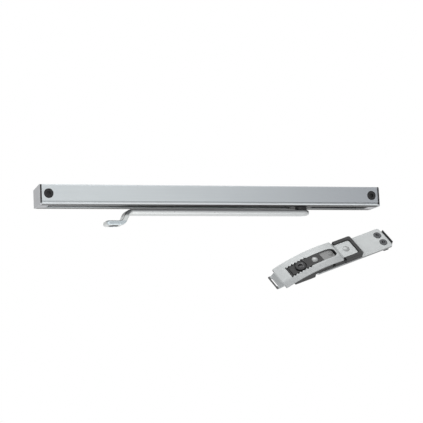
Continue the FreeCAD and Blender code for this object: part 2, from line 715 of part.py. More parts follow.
def spring_layer(clearance):
    """Curved layer of the spring strip, with a clearance above and below it."""
    outer = arch_drum(SPRING_RADIUS + clearance)
    return outer.cut(arch_drum(SPRING_RADIUS - SPRING_THICKNESS - clearance))


def make_carrier_block():
    """Block that slides under the arch, with a ridge that stands up in the toothed slot."""
    side_range = (-CARRIER_HALF_WIDTH, CARRIER_HALF_WIDTH)
    body = block((CARRIER_START_X, CARRIER_END_X), side_range, (CARRIER_FOOT_Z, ARCH_TOP_Z))
    body = body.common(arch_drum(CARRIER_RADIUS))
    ridge_start = SLOT_START_X + RIDGE_START_GAP
    ridge = block((ridge_start, RIDGE_END_X), (-RIDGE_HALF_WIDTH, RIDGE_HALF_WIDTH),
                  (CARRIER_STEP_Z, ARCH_TOP_Z))
    ridge = ridge.common(arch_drum(RIDGE_RADIUS))
    step = block((CARRIER_FOOT_END_X, CARRIER_END_X + OVERCUT), (-UNIT_WIDTH, UNIT_WIDTH),
                 (CARRIER_FOOT_Z - OVERCUT, CARRIER_STEP_Z))
    up = Vector(0, 0, 1)
    seat = at_arch(rod(ADJUSTER_RECESS_DIA, arch_point(ADJUSTER_SEAT_RADIUS), up, ADJUSTER_HEAD_HEIGHT),
                   ADJUSTER_X)
    bore_dia = ADJUSTER_SHANK_DIA + 2 * ADJUSTER_BORE_CLEARANCE
    bore = at_arch(rod(bore_dia, ARCH_CENTRE, up, ADJUSTER_SEAT_RADIUS), ADJUSTER_X)
    rivet_seat = at_arch(rod(CARRIER_RIVET_HEAD_DIA, arch_point(RIVET_SEAT_RADIUS), up,
                             RIVET_HEAD_HEIGHT), CARRIER_RIVET_X)
    rivet_bore = at_arch(rod(RIVET_SHANK_DIA, ARCH_CENTRE, up, RIVET_SEAT_RADIUS), CARRIER_RIVET_X)
    pocket_half = SPRING_HALF_WIDTH + SPRING_POCKET_CLEARANCE
    pocket = block((SPRING_START_X - SPRING_POCKET_CLEARANCE, SPRING_END_X), (-pocket_half, pocket_half),
                   (CARRIER_STEP_Z, ARCH_TOP_Z))
    pocket = pocket.common(spring_layer(SPRING_POCKET_CLEARANCE))
    trough_half = SPRING_FREE_HALF_WIDTH + SPRING_POCKET_CLEARANCE
    trough = block((RIDGE_END_X, SPRING_END_X), (-trough_half, trough_half), (CARRIER_STEP_Z, ARCH_TOP_Z))
    trough = trough.cut(arch_drum(SPRING_RADIUS - SPRING_THICKNESS - SPRING_POCKET_CLEARANCE))
    cutters = [step, seat, bore, rivet_seat, rivet_bore, pocket, trough]
    return body.fuse(ridge).cut([*cutters, nut_space(SPRING_POCKET_CLEARANCE)])


def nut_top_radius():
    """Height of the nut's upper face over the arch's centre."""
    foot_radius = Vector(ADJUSTER_X, 0, CARRIER_FOOT_Z).distanceToPoint(ARCH_CENTRE)
    return foot_radius + NUT_POCKET_DEPTH


def nut_space(clearance):
    """Square space of the nut, open to the foot of the carrier."""
    half = NUT_SIZE / 2 + clearance
    top = nut_top_radius()
    low = arch_point(top - 2 * NUT_POCKET_DEPTH)
    space = block((low.x - half, low.x + half), (-half, half), (low.z, low.z + 2 * NUT_POCKET_DEPTH))
    return at_arch(space, ADJUSTER_X)


def make_carrier_nut():
    """Square nut in the foot of the carrier."""
    half = NUT_SIZE / 2
    top = arch_point(nut_top_radius())
    nut = block((top.x - half, top.x + half), (-half, half), (top.z - NUT_THICKNESS, top.z))
    bore_dia = ADJUSTER_SHANK_DIA + 2 * RUNNING_CLEARANCE
    nut = nut.cut(rod(bore_dia, top - Vector(0, 0, NUT_THICKNESS), Vector(0, 0, 1), NUT_THICKNESS))
    return at_arch(nut, ADJUSTER_X)


def make_adjuster_screw():
    """Socket screw that clamps the carrier to the leaf."""
    seat = arch_point(ADJUSTER_SEAT_RADIUS + CARRIER_CLEARANCE).z
    end = arch_point(nut_top_radius() - NUT_THICKNESS).z
    outline = [
        (0, end),
        (ADJUSTER_SHANK_DIA / 2, end, SCREW_HEAD_EDGE / 2),
        (ADJUSTER_SHANK_DIA / 2, seat),
        (ADJUSTER_HEAD_DIA / 2, seat),
        (ADJUSTER_HEAD_DIA / 2, seat + ADJUSTER_HEAD_HEIGHT, SCREW_HEAD_EDGE),
        (0, seat + ADJUSTER_HEAD_HEIGHT),
    ]
    screw = turned(outline, Vector(ARCH_TOP_X, 0, 0))
    socket_base = Vector(ARCH_TOP_X, 0, seat + ADJUSTER_HEAD_HEIGHT - ADJUSTER_SOCKET_DEPTH)
    screw = screw.cut(hexagon(ADJUSTER_SOCKET, socket_base, ADJUSTER_SOCKET_DEPTH + OVERCUT))
    return at_arch(screw, ADJUSTER_X)


def domed_rivet(x, head_base, head_dia, tail):
    """Rivet upright at x: flat tail, shank, and a domed head on head_base."""
    shank = rod(RIVET_SHANK_DIA, Vector(x, 0, tail), Vector(0, 0, 1), head_base - tail)
    ball_radius = ((head_dia / 2) ** 2 + RIVET_HEAD_HEIGHT ** 2) / (2 * RIVET_HEAD_HEIGHT)
    ball = Part.makeSphere(ball_radius, Vector(x, 0, head_base + RIVET_HEAD_HEIGHT - ball_radius))
    half = head_dia
    dome = ball.common(block((x - half, x + half), (-half, half), (head_base, head_base + half)))
    return shank.fuse(dome)


def make_carrier_rivet():
    tail_radius = Vector(CARRIER_RIVET_X, 0, CARRIER_STEP_Z).distanceToPoint(ARCH_CENTRE)
    tail = arch_point(tail_radius).z
    rivet = domed_rivet(ARCH_TOP_X, arch_point(RIVET_SEAT_RADIUS).z, CARRIER_RIVET_HEAD_DIA, tail)
    return at_arch(rivet, CARRIER_RIVET_X)


def make_detent_spring():
    """Curved spring strip whose pressed dome shows in the slot's free end."""
    wide_start = RIDGE_END_X + SPRING_POCKET_CLEARANCE
    corners = mirrored([
        (SPRING_END_X, SPRING_FREE_HALF_WIDTH, SPRING_TIP_RADIUS),
        (wide_start, SPRING_FREE_HALF_WIDTH),
        (wide_start, SPRING_HALF_WIDTH),
        (SPRING_START_X, SPRING_HALF_WIDTH, SMALL_RADIUS),
    ])
    strip = prism("xy", corners, 0, ARCH_TOP_Z).common(spring_layer(0))
    ball_radius = ((DOME_DIA / 2) ** 2 + DOME_HEIGHT ** 2) / (2 * DOME_HEIGHT)
    centre = arch_point(SPRING_RADIUS + DOME_HEIGHT - ball_radius)
    dome = Part.makeSphere(ball_radius, centre)
    dome = dome.common(block((centre.x - DOME_DIA, centre.x + DOME_DIA), (-DOME_DIA, DOME_DIA),
                             (arch_point(SPRING_RADIUS - SPRING_THICKNESS / 2).z, ARCH_TOP_Z)))
    hole = rod(RIVET_SHANK_DIA, arch_point(0), Vector(0, 0, 1), ARCH_RADIUS)
    return strip.fuse(at_arch(dome, DOME_X)).cut(at_arch(hole, CARRIER_RIVET_X))


def make_stop_buffer():
    """Buffer with a block under the leaf's end and an upright wall round its tongue."""
    slab = block((BUFFER_START_X, BUFFER_STEP_X), (-BUFFER_SLAB_HALF_WIDTH, BUFFER_SLAB_HALF_WIDTH),
                 (0, BUFFER_SLAB_Z))
    seat = block((BUFFER_START_X, BUFFER_END_X - BUFFER_OUTER_RADIUS),
                 (-BUFFER_SLAB_HALF_WIDTH, BUFFER_SLAB_HALF_WIDTH), (0, BUFFER_SEAT_Z))
    outer = prism("xy", mirrored([
        (BUFFER_END_X, UNIT_HALF_WIDTH, BUFFER_OUTER_RADIUS),
        (BUFFER_WALL_X, UNIT_HALF_WIDTH, SMALL_RADIUS),
    ]), 0, BUFFER_TOP_Z)
    hollow = prism("xy", mirrored([
        (BUFFER_END_X - BUFFER_WALL, BUFFER_INNER_HALF_WIDTH, BUFFER_INNER_RADIUS),
        (BUFFER_WALL_X - OVERCUT, BUFFER_INNER_HALF_WIDTH),
    ]), BUFFER_SEAT_Z, BUFFER_TOP_Z)
    notch = block((BUFFER_START_X - OVERCUT, BUFFER_NOTCH_X),
                  (-BUFFER_NOTCH_HALF_WIDTH, BUFFER_NOTCH_HALF_WIDTH), (BUFFER_NOTCH_Z, BUFFER_TOP_Z))
    rivet_hole = rod(RIVET_SHANK_DIA, Vector(TONGUE_RIVET_X, 0, 0), Vector(0, 0, 1), BUFFER_TOP_Z)
    return slab.fuse([seat, outer]).removeSplitter().cut([hollow, notch, rivet_hole])


def make_base_plate():
    """Flat strip with a bent lip at its clamped end."""
    side = [
        (BASE_START_X, 0),
        (BASE_LIP_X, 0, BASE_THICKNESS + SMALL_RADIUS),
        (BASE_LIP_X, -BASE_LIP_DROP),
        (BASE_LIP_X - BASE_THICKNESS, -BASE_LIP_DROP),
        (BASE_LIP_X - BASE_THICKNESS, -BASE_THICKNESS, SMALL_RADIUS),
        (BASE_START_X, -BASE_THICKNESS),
    ]
    strip = prism("xz", side, -UNIT_WIDTH, UNIT_WIDTH)
    plan = mirrored([
        (BASE_LIP_X, BASE_LIP_HALF_WIDTH),
        (BASE_END_X, BASE_LIP_HALF_WIDTH),
        (BASE_END_X, UNIT_HALF_WIDTH, BASE_CORNER),
        (BASE_START_X, UNIT_HALF_WIDTH, BASE_CORNER),
    ])
    plate = strip.common(prism("xy", plan, -2 * BASE_LIP_DROP, BASE_LIP_DROP))
    rivet_foot = Vector(TONGUE_RIVET_X, 0, -BASE_THICKNESS)
    holes = [rod(RIVET_SHANK_DIA, rivet_foot, Vector(0, 0, 1), BASE_THICKNESS)]
    for side_sign in (-1, 1):
        foot = Vector(CLAMP_SCREW_X, side_sign * CLAMP_SCREW_HALF_SPACING, -BASE_THICKNESS)
        holes.append(rod(CLAMP_SCREW_DIA, foot, Vector(0, 0, 1), BASE_THICKNESS))
    return plate.cut(holes)


def make_end_pad():
    """Plastic pad on the outer face of the base plate's lip."""
    outline = [
        (-END_PAD_HALF_WIDTH, -BASE_LIP_DROP, SMALL_RADIUS),
        (END_PAD_HALF_WIDTH, -BASE_LIP_DROP, SMALL_RADIUS),
        (END_PAD_HALF_WIDTH, END_PAD_PROUD, SMALL_RADIUS),
        (-END_PAD_HALF_WIDTH, END_PAD_PROUD, SMALL_RADIUS),
    ]
    return prism("yz", outline, BASE_LIP_X, BASE_LIP_X + END_PAD_THICKNESS)


def make_clamp_block():
    """Threaded block under the base plate, with an ear at each side."""
    low = -BASE_THICKNESS - CLAMP_HEIGHT
    plan = mirrored([
        (CLAMP_SCREW_X + CLAMP_LENGTH / 2, CLAMP_SHOULDER_HALF_WIDTH, CLAMP_CORNER),
        (CLAMP_SCREW_X + CLAMP_EAR_LENGTH / 2, CLAMP_HALF_WIDTH, CLAMP_CORNER),
        (CLAMP_SCREW_X - CLAMP_EAR_LENGTH / 2, CLAMP_HALF_WIDTH, CLAMP_CORNER),
        (CLAMP_SCREW_X - CLAMP_LENGTH / 2, CLAMP_SHOULDER_HALF_WIDTH, CLAMP_CORNER),
    ])
    body = prism("xy", plan, low, -BASE_THICKNESS)
    holes = []
    for side_sign in (-1, 1):
        foot = Vector(CLAMP_SCREW_X, side_sign * CLAMP_SCREW_HALF_SPACING, low)
        holes.append(rod(CLAMP_SCREW_DIA, foot, Vector(0, 0, 1), CLAMP_HEIGHT))
    return body.cut(holes)


def make_clamp_screw(side):
    """Socket set screw that braces the unit in the rail's hollow."""
    top = CLAMP_SCREW_PROUD
    low = -BASE_THICKNESS - CLAMP_HEIGHT - CLAMP_SCREW_REACH
    outline = [
        (0, low),
        (CLAMP_SCREW_DIA / 2, low, SMALL_RADIUS),
        (CLAMP_SCREW_DIA / 2, top, SMALL_RADIUS),
        (0, top),
    ]
    centre = Vector(CLAMP_SCREW_X, side * CLAMP_SCREW_HALF_SPACING, 0)
    screw = turned(outline, centre)
    socket_base = centre + Vector(0, 0, top - CLAMP_SOCKET_DEPTH)
    return screw.cut(hexagon(CLAMP_SOCKET, socket_base, CLAMP_SOCKET_DEPTH + OVERCUT))


def make_tongue_rivet():
    head_base = TONGUE_TOP_Z + TONGUE_RIVET_GAP
    return domed_rivet(TONGUE_RIVET_X, head_base, TONGUE_RIVET_HEAD_DIA, -BASE_THICKNESS)


def placed(shape):
    """Stand a piece of the hold-open unit in its place below the rail."""
    origin = Vector(0, 0, 0)
    shape.translate(Vector(-UNIT_MIDDLE, 0, 0))
    shape.rotate(origin, Vector(1, 0, 0), UNIT_TILT)
    shape.rotate(origin, Vector(0, 1, 0), -UNIT_RISE)
    shape.rotate(origin, Vector(0, 0, 1), UNIT_TURN)
    shape.translate(Vector(*UNIT_PLACE))
    return shape


def build():
    """Every piece by its node name."""
    return {
        "rail_profile": make_rail(),
        "end_insert_left": make_end_insert(-1),
        "end_insert_right": make_end_insert(1),
        "end_plate_left": make_end_plate(-1),
        "end_plate_right": make_end_plate(1),
        "fixing_screw_left": make_fixing_screw(-1),
        "fixing_screw_right": make_fixing_screw(1),
        "slider_block": make_slider_block(),
        "slider_pin": make_slider_pin(),
        "arm_bush": make_arm_bush(),
        "arm_bar": make_arm_bar(),
        "base_plate": placed(make_base_plate()),
        "end_pad": placed(make_end_pad()),
        "clamp_block": placed(make_clamp_block()),
        "clamp_screw_front": placed(make_clamp_screw(-1)),
        "clamp_screw_rear": placed(make_clamp_screw(1)),
        "stop_buffer": placed(make_stop_buffer()),
        "tongue_rivet": placed(make_tongue_rivet()),
        "detent_leaf": placed(make_detent_leaf()),
        "carrier_block": placed(make_carrier_block()),
        "carrier_nut": placed(make_carrier_nut()),
        "carrier_rivet": placed(make_carrier_rivet()),
        "detent_spring": placed(make_detent_spring()),
        "adjuster_screw": placed(make_adjuster_screw()),
    }


os.makedirs("parts", exist_ok=True)
for node, solid in build().items():
    if len(solid.Solids) != 1 or not solid.isValid():
        raise ValueError(node + " is not one valid solid")
    solid.Solids[0].exportStep("parts/" + node + ".step")
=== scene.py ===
import bmesh
import bpy
import json
import math
from mathutils import Matrix, Vector


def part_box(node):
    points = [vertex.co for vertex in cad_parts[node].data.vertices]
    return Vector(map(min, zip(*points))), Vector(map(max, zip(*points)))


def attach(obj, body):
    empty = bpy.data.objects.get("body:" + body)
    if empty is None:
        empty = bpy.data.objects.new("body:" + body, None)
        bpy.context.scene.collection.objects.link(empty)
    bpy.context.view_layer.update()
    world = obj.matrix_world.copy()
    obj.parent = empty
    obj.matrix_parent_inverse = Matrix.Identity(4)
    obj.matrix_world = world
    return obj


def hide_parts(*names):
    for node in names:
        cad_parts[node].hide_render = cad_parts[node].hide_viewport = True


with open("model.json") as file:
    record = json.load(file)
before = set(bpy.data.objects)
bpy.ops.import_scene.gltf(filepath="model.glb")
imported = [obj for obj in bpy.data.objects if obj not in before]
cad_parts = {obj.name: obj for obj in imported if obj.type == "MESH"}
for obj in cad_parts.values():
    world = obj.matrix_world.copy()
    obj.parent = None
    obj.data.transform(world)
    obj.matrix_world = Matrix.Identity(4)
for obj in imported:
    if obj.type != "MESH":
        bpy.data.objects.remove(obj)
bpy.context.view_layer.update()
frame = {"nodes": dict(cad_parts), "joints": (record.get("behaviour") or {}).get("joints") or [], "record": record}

MM = 0.001

# ---- Places read from the frame -----------------------------------------------------
RAIL_LOW, RAIL_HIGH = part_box("rail_profile")
JOINTS = {joint["name"]: joint for joint in frame["joints"]}


def widest_face(node):
    """Direction that the largest face of a CAD piece looks in, on its front side."""
    faces = [face for face in frame["nodes"][node].data.polygons if face.normal.y < 0]
    return max(faces, key=lambda face: face.area).normal.copy()


def unit_top(node):
    """How far a piece reaches in the direction that the unit's front side looks in."""
    return max(UNIT_OUT.dot(vertex.co) for vertex in frame["nodes"][node].data.vertices)


UNIT_OUT = widest_face("base_plate")
UNIT_ACROSS = Vector(JOINTS["carrier_shift"]["axis"]).normalized()
UNIT_ALONG = UNIT_ACROSS.cross(UNIT_OUT)
UNIT_TURN = Matrix((UNIT_ALONG, UNIT_ACROSS, UNIT_OUT)).transposed()
UNIT_MIDDLE = Vector(JOINTS["adjuster_turn"]["pos_m"])

RIGHTWARD = Vector((1.0, 0.0, 0.0))
DOWN = Vector((0.0, 0.0, -1.0))
FRONT = Vector((0.0, -1.0, 0.0))
MOUNTS = {mount["name"]: mount for mount in frame["record"]["mounts"]}

# ---- Sizes of the fine detail, in metres --------------------------------------------
EDGE_FADE = 0.2 * MM
RAIL_WALL = 1.6 * MM
ROOF_DEPTH = 5.5 * MM
LIP_START = 5.0 * MM
BEAD_TOP = 9.6 * MM
# painted shade on the rail's front starts here and deepens to the right end
RAIL_PAINTED_SHADE_START = -100.0 * MM
# painted shade on the rail's lips grows between these places
LIPS_PAINTED_SHADE_FROM, LIPS_PAINTED_SHADE_TO = 100.0 * MM, 180.0 * MM
# painted shade on the arm darkens between these places
ARM_PAINTED_SHADE_START, ARM_PAINTED_SHADE_END = -100.0 * MM, 120.0 * MM
ARM_MIDDLE = 19.4 * MM
CRANK_START, CRANK_END = -106.0 * MM, -110.0 * MM
CRANK_SHADOW_DROP = 3.3 * MM
CRANK_SHADOW_FADE = 3.0 * MM
LOW_FLAT = 31.0 * MM
HOLE_RIM = 0.6 * MM
NECK_START, NECK_END = -26.5 * MM, -29.0 * MM
HOOK_BAR = -34.3 * MM
NEAR_START, NEAR_END = -5.0 * MM, -9.0 * MM
LEAF_END = 54.0 * MM
LEAF_FADE = 6.0 * MM
RIDGE_HALF_WIDTH = 5.95 * MM
SOCKET_RIM = 0.4 * MM
ADJUSTER_SOCKET = 2.6 * MM
FIXING_HEAD_HEIGHT = 3.0 * MM
FIXING_HEAD_EDGE = 0.6 * MM
FIXING_SHANK_RADIUS = 2.7 * MM
FIXING_THREAD_RADIUS = 2.5 * MM
FIXING_SOCKET = 5.0 * MM
FIXING_SOCKET_DEPTH = 2.0 * MM
THREAD_PITCH = 0.8 * MM
THREAD_DEPTH = 0.45 * MM
FIXING_ROUNDING = 0.12 * MM
MERGE_DISTANCE = 0.002 * MM

# ---- Counts, angles and weights of the meshes ---------------------------------------
ROUND_SIDES = 64
TURN_STEPS = 24
CREST_SIDES = 3
HEX_SIDES = 6
EDGE_SEGMENTS = 2
BUFFER_SEGMENTS = 3
FLAT_ANGLE = math.radians(1.0)
SHARP_ANGLE = math.radians(32.0)
FLAT_FACE_WEIGHT = 100

# ---- Leans between which a mask on the normal fades in ------------------------------
UNDER_FACING = (0.15, 0.55)
RAIL_SHADOW_FACING = (0.2, 0.5)
CRANK_SHADOW_FACING = (0.35, 0.1)
FLAT_SIDE_SHADE_FACING = (0.3, 0.7)
CUT_FACING = (0.4, 0.1)
CARRIER_TOP_FACING = (0.7, 0.9)
BUFFER_SHADE_FACING = (-0.4, -0.8)

# ---- Ranges of the patterns and strengths of the painted shade ----------------------
PATTERN_MIDDLE = (0.3, 0.7)
HOLLOW_PAINTED_SHADE = (0.3, 0.9)
LIPS_PAINTED_SHADE = 0.6

# ---- View and light -----------------------------------------------------------------
CAMERA_PLACE = Vector((-0.686, -1.982, -0.331))
CAMERA_RIGHT = Vector((0.94545, -0.32226, -0.04764))
CAMERA_UP = Vector((-0.00347, -0.15619, 0.98772))
CAMERA_LENS = 142.13
SENSOR_WIDTH = 36.0
CLIP_RANGE = (0.05, 100.0)
FLOOR_HEIGHT = -2.1
FLOOR_SIZE = 30.0
FLOOR_GREY = 0.8
AMBIENT = 0.35
WHITE = (1.0, 1.0, 1.0, 1.0)
LAMP_TARGET = Vector((0.0, -0.05, -0.03))
LAMPS = {
    "top_softbox": {"place": Vector((0.0, -0.6, 1.9)), "side": 1.6, "power": 14.0},
    "front_softbox": {"place": Vector((-1.0, -1.3, -0.1)), "side": 0.8, "power": 8.0},
    "low_softbox": {"place": Vector((0.0, -0.6, -1.5)), "side": 1.2, "power": 11.0},
}


# ---- Node trees ---------------------------------------------------------------------
class Link:
    """An output socket. Arithmetic on it adds Math nodes to its tree."""

    def __init__(self, graph, socket):
        self.graph = graph
        self.socket = socket

    def math(self, operation, first, second=0.0):
        return self.graph.node("ShaderNodeMath", {"operation": operation}, {0: first, 1: second})

    def __add__(self, other):
        return self.math("ADD", self, other)

    def __radd__(self, other):
        return self.math("ADD", other, self)

    def __sub__(self, other):
        return self.math("SUBTRACT", self, other)

    def __rsub__(self, other):
        return self.math("SUBTRACT", other, self)

    def __mul__(self, other):
        return self.math("MULTIPLY", self, other)

    def __rmul__(self, other):
        return self.math("MULTIPLY", other, self)

    def __truediv__(self, other):
        return self.math("DIVIDE", self, other)

    def output(self, name):
        """Another output of the same node."""
        return Link(self.graph, self.socket.node.outputs[name])


class Graph:
    """A shader or geometry tree that is built node by node."""

    def __init__(self, tree):
        self.tree = tree
        tree.nodes.clear()

    def node(self, kind, settings=None, sockets=None, output=0):
        """Adds a node: its settings first, then the values or links of its sockets."""
        made = self.tree.nodes.new(kind)
        for name, value in (settings or {}).items():
            setattr(made, name, value)
        for key, value in (sockets or {}).items():
            self.fill(made.inputs[key], value)
        return Link(self, made.outputs[output]) if made.outputs else None

    def fill(self, socket, value):
        """Gives a socket a link, several links or a plain value."""
        if isinstance(value, Link):
            self.tree.links.new(value.socket, socket)
        elif isinstance(value, list):
            for link in value:
                self.tree.links.new(link.socket, socket)
        else:
            socket.default_value = value


# ---- Surface patterns ---------------------------------------------------------------
def pattern_space(graph, stretch=(1.0, 1.0, 1.0), of_unit=False):
    """Object coordinates, stretched along the rail's axes or along the unit's."""
    turn = UNIT_TURN.to_euler() if of_unit else (0.0, 0.0, 0.0)
    place = graph.node("ShaderNodeTexCoord", output="Object")
    scale = tuple(1.0 / factor for factor in stretch)
    sockets = {"Vector": place, "Rotation": turn, "Scale": scale}
    return graph.node("ShaderNodeMapping", {"vector_type": "TEXTURE"}, sockets)


def mottle(graph, scale, detail=2.0, stretch=(1.0, 1.0, 1.0), of_unit=False):
    """Noise from 0 to 1, of that many spots to the metre."""
    space = pattern_space(graph, stretch, of_unit)
    sockets = {"Vector": space, "Scale": scale, "Detail": detail, "Roughness": 0.55}
    return graph.node("ShaderNodeTexNoise", {}, sockets)


def eased(graph, value, start, end, low=0.0, high=1.0):
    """Value brought from low at start to high at end, and held outside them."""
    sockets = {"Value": value, "From Min": start, "From Max": end, "To Min": low, "To Max": high}
    return graph.node("ShaderNodeMapRange", {"clamp": True}, sockets)


def spread(graph, value, low, high):
    """A pattern's middle range brought to low and high."""
    return eased(graph, value, *PATTERN_MIDDLE, low, high)


def blend(graph, factor, first, second):
    """Colour between two, each of them a linear colour or a link."""
    first, second = (colour if isinstance(colour, Link) else (*colour, 1.0) for colour in (first, second))
    sockets = {0: factor, 6: first, 7: second}
    return graph.node("ShaderNodeMix", {"data_type": "RGBA"}, sockets, output=2)


def facing(graph, direction):
    """How far the piece's own normal leans to a direction, from -1 to 1."""
    normal = graph.node("ShaderNodeTexCoord", output="Normal")
    sockets = {0: normal, 1: direction}
    return graph.node("ShaderNodeVectorMath", {"operation": "DOT_PRODUCT"}, sockets, output="Value")


def along(graph, origin, direction):
    """Distance from origin along a direction."""
    place = graph.node("ShaderNodeTexCoord", output="Object")
    arm = graph.node("ShaderNodeVectorMath", {"operation": "SUBTRACT"}, {0: place, 1: origin})
    sockets = {0: arm, 1: direction}
    return graph.node("ShaderNodeVectorMath", {"operation": "DOT_PRODUCT"}, sockets, output="Value")


def within(graph, low, high):
    """1 inside a box of the frame, fading to 0 just outside it."""
    inside = 1.0
    for axis in range(3):
        direction = Vector([float(axis == other) for other in range(3)])
        place = along(graph, Vector(), direction)
        inside = inside * eased(graph, place, low[axis] - EDGE_FADE, low[axis])
        inside = inside * eased(graph, place, high[axis] + EDGE_FADE, high[axis])
    return inside


def relief(graph, height, depth):
    """Normal of a surface raised by height times depth."""
    sockets = {"Height": height, "Distance": depth, "Strength": 1.0}
    return graph.node("ShaderNodeBump", {}, sockets)


def finish(name, make):
    """Material whose shader takes the sockets that make works out."""
    material = bpy.data.materials.new(name)
    material.use_nodes = True
    graph = Graph(material.node_tree)
    shader = graph.node("ShaderNodeBsdfPrincipled", {}, make(graph))
    graph.node("ShaderNodeOutputMaterial", {}, {"Surface": shader})
    return material


# ---- Finishes -----------------------------------------------------------------------
def drawn_aluminium(graph):
    """Satin anodised rail with the fine lengthwise lines of the press, and painted light and shade: a highlight on
    the strip below the bead, shade darkening the front towards the right end, and shade on the downward faces, the
    lips and inside the channel.
    """
    lines = mottle(graph, 2200.0, 3.0, (0.006, 1.0, 1.0))
    broad = mottle(graph, 260.0, 2.0, (0.01, 1.0, 1.0))
    cloud = mottle(graph, 14.0, 2.0)
    colour = blend(graph, spread(graph, 0.6 * lines + 0.4 * cloud, 0.0, 1.0),
                   (0.61, 0.65, 0.67), (0.67, 0.715, 0.735))
    run = along(graph, Vector(), RIGHTWARD)
    above_bead = eased(graph, along(graph, Vector(), DOWN), BEAD_TOP + EDGE_FADE, BEAD_TOP - EDGE_FADE)
    # painted shade: the front above the bead darkens towards the rail's right end
    painted_rail_shade = above_bead * eased(graph, run, RAIL_PAINTED_SHADE_START, RAIL_HIGH.x)
    # painted highlight: the strip below the bead is lightened
    colour = blend(graph, 1.0 - above_bead, colour, (0.8, 0.84, 0.86))
    colour = blend(graph, painted_rail_shade, colour, (0.41, 0.435, 0.465))
    # painted shade on the downward faces, darkening from the left end to the middle
    painted_under_shade = blend(graph, eased(graph, run, RAIL_LOW.x, 0.0), (0.17, 0.175, 0.18), (0.02, 0.02, 0.021))
    colour = blend(graph, eased(graph, facing(graph, DOWN), *UNDER_FACING), colour, painted_under_shade)
    # painted shade inside the rail's channel, growing from the left end to the middle
    low = Vector((RAIL_LOW.x, RAIL_LOW.y + RAIL_WALL, RAIL_LOW.z + RAIL_WALL))
    high = Vector((RAIL_HIGH.x, RAIL_HIGH.y - RAIL_WALL, RAIL_HIGH.z - ROOF_DEPTH))
    hollow = within(graph, low, high) * eased(graph, run, RAIL_LOW.x, 0.0, *HOLLOW_PAINTED_SHADE)
    # painted shade on the lips beside the slot, growing towards the right end
    low = Vector((RAIL_LOW.x, RAIL_LOW.y + LIP_START, RAIL_LOW.z + 2.0 * EDGE_FADE))
    high = Vector((RAIL_HIGH.x, RAIL_HIGH.y - RAIL_WALL, RAIL_LOW.z + LIP_START))
    lips = within(graph, low, high) * eased(graph, run, LIPS_PAINTED_SHADE_FROM, LIPS_PAINTED_SHADE_TO, 0.0, LIPS_PAINTED_SHADE)
    colour = blend(graph, hollow + lips, colour, (0.08, 0.082, 0.085))
    return {
        "Base Color": colour,
        "Metallic": 0.3,
        "Roughness": spread(graph, 0.5 * broad + 0.5 * lines, 0.36, 0.5),
        "Normal": relief(graph, 0.7 * lines + 0.3 * broad, 0.012 * MM),
    }


def end_aluminium(graph):
    """End plate brushed from front to back."""
    lines = mottle(graph, 2400.0, 3.0, (1.0, 0.01, 1.0))
    cloud = mottle(graph, 60.0)
    colour = blend(graph, spread(graph, 0.5 * lines + 0.5 * cloud, 0.0, 1.0),
                   (0.42, 0.43, 0.45), (0.49, 0.50, 0.515))
    return {
        "Base Color": colour,
        "Metallic": 0.5,
        "Roughness": spread(graph, lines, 0.34, 0.48),
        "Normal": relief(graph, lines, 0.01 * MM),
    }


def plated_arm(graph):
    """Zinc plated and polished flat bar, with painted shade: darker towards its right end, the rail's shadow on
    the top part of its front side and on the crank, shade on the low flat's front side and in the spindle hole.
    """
    lines = mottle(graph, 1500.0, 3.0, (0.02, 1.0, 1.0))
    spangle = mottle(graph, 420.0, 4.0)
    colour = blend(graph, spread(graph, 0.4 * lines + 0.6 * spangle, 0.0, 1.0),
                   (0.68, 0.70, 0.695), (0.76, 0.785, 0.78))
    run = along(graph, Vector(), RIGHTWARD)
    depth = along(graph, Vector(), DOWN)
    lean_front = facing(graph, FRONT)
    # painted shade: the arm darkens towards its right end
    colour = blend(graph, eased(graph, run, ARM_PAINTED_SHADE_START, ARM_PAINTED_SHADE_END), colour, (0.60, 0.62, 0.625))
    # painted shadow of the rail on the front-facing side of the arm above its middle
    rail_shadow = eased(graph, depth, ARM_MIDDLE + EDGE_FADE, ARM_MIDDLE - EDGE_FADE)
    rail_shadow = rail_shadow * eased(graph, lean_front, *RAIL_SHADOW_FACING)
    colour = blend(graph, rail_shadow, colour, (0.34, 0.35, 0.36))
    # painted shadow of the rail on the crank's sides and top faces, down to a little below the arm's middle
    shadow_end = ARM_MIDDLE + CRANK_SHADOW_DROP
    crank = eased(graph, run, CRANK_START, CRANK_END)
    crank = crank * eased(graph, depth, shadow_end + CRANK_SHADOW_FADE, shadow_end)
    crank = crank * eased(graph, facing(graph, DOWN), *CRANK_SHADOW_FACING)
    colour = blend(graph, crank, colour, (0.12, 0.125, 0.13))
    # painted shade, with a bluish tint, on the front-facing side of the arm's low flat
    flat = eased(graph, depth, LOW_FLAT - EDGE_FADE, LOW_FLAT)
    flat = flat * eased(graph, lean_front, *FLAT_SIDE_SHADE_FACING)
    colour = blend(graph, flat, colour, (0.53, 0.59, 0.62))
    # painted shade inside the spindle hole
    hole = MOUNTS["spindle_socket"]
    radius = hole["dims"]["r_mm"] * MM
    reach = Vector((radius, radius, hole["dims"]["length_mm"] * MM / 2 - HOLE_RIM))
    middle = Vector(hole["pos_m"])
    bore_shade = within(graph, middle - reach, middle + reach)
    colour = blend(graph, bore_shade, colour, (0.12, 0.125, 0.125))
    return {
        "Base Color": colour,
        "Metallic": 0.3,
        "Roughness": spread(graph, spangle, 0.26, 0.4),
        "Normal": relief(graph, 0.6 * lines + 0.4 * spangle, 0.012 * MM),
    }


